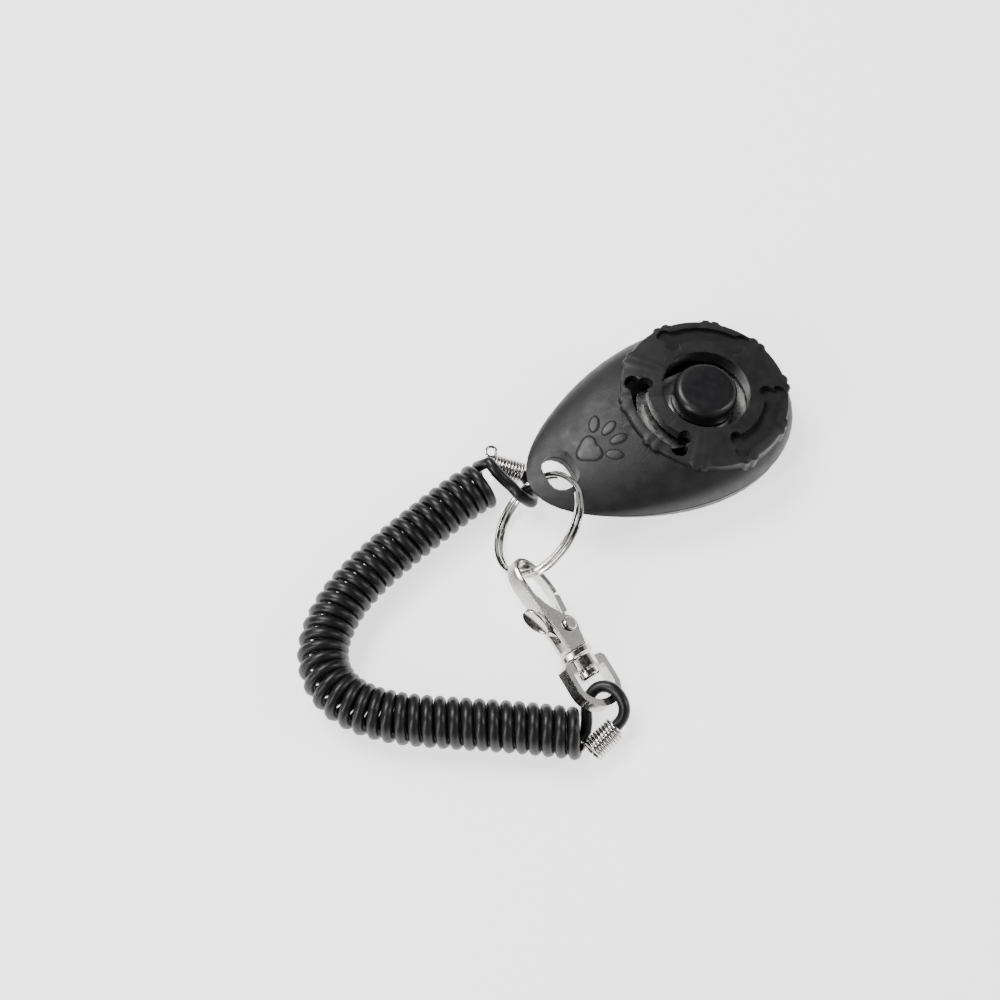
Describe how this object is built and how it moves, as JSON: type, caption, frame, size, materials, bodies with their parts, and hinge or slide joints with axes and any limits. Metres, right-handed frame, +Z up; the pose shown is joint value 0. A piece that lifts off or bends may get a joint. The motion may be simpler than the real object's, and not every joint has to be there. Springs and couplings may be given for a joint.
{
  "type": "clicker trainer",
  "caption": "Palm-size dog training clicker with a round push button and paw vent, on a split ring with a swivel snap hook and a coiled wrist strap.",
  "frame": {"origin": "on the flat of the clicker's underside, straight below the middle of the button's disc", "axes": "+Z up from the table; +X along the clicker, from the eyelet to its wide end; +Y across it"},
  "size_m": [0.13, 0.0805, 0.0197],
  "materials": {
    "black_plastic": "satin moulded",
    "button_plastic": "satin gloss",
    "spring_steel": "polished",
    "screw_steel": "satin",
    "nickel_plate": "polished nickel plate",
    "cord_plastic": "glossy soft plastic"
  },
  "bodies": {
    "clicker": {"top_cover": "black_plastic", "bottom_cover": "black_plastic", "case_screw_1": "screw_steel", "case_screw_2": "screw_steel", "case_screw_3": "screw_steel", "strip_screw": "screw_steel", "strap_coil": "cord_plastic", "strap_loop_ring": "cord_plastic", "crimp_spring_ring": "nickel_plate", "strap_loop_hook": "cord_plastic", "crimp_spring_hook": "nickel_plate"},
    "button": {"button": "button_plastic"},
    "strip": {"click_strip": "spring_steel"},
    "ring": {"split_ring": "nickel_plate"},
    "hook": {"hook_body": "nickel_plate", "gate_pin": "nickel_plate", "gate_spring": "spring_steel", "swivel_post": "nickel_plate"},
    "gate": {"hook_gate": "nickel_plate"},
    "loop": {"swivel_loop": "nickel_plate"}
  },
  "joints": [
    {"name": "button_press", "type": "slide", "parent": "clicker", "child": "button", "axis": [0.1028, 0, 0.9947], "range_m": [-0.0012, 0], "stiffness_N_per_m": 2500},
    {"name": "strip_flex", "type": "hinge", "parent": "clicker", "child": "strip", "pos_m": [-0.0173, 0, 0.01416], "axis": [0, -1, 0], "range_deg": [-4.1, 0]},
    {"name": "ring_tilt", "type": "hinge", "parent": "clicker", "child": "ring", "pos_m": [-0.04537, 0.00272, 0.0047], "axis": [-0.5564, 0.4339, -0.7086], "range_deg": [0, 12], "deforming": ["strap_loop_ring", "strap_loop_hook"]},
    {"name": "hook_tilt", "type": "hinge", "parent": "ring", "child": "hook", "pos_m": [-0.05581, -0.01642, 0.00905], "axis": [-0.5564, 0.4339, -0.7086], "range_deg": [-18.4, 0]},
    {"name": "gate_open", "type": "hinge", "parent": "hook", "child": "gate", "pos_m": [-0.05411, -0.03093, 0.00661], "axis": [0.4984, -0.0864, 0.8626], "range_deg": [0, 22], "stiffness_Nm_per_rad": 0.02},
    {"name": "loop_swivel", "type": "hinge", "parent": "hook", "child": "loop", "pos_m": [-0.0548, -0.03854, 0.00625], "axis": [-0.08, 0.9862, 0.145], "range_deg": [-15, 15]}
  ],
  "couplings": [
    {"joint": "strip_flex", "follows": "button_press", "rad_per_m": 59.2},
    {"joint": "hook_tilt", "follows": "ring_tilt", "ratio": -1.53}
  ]
}
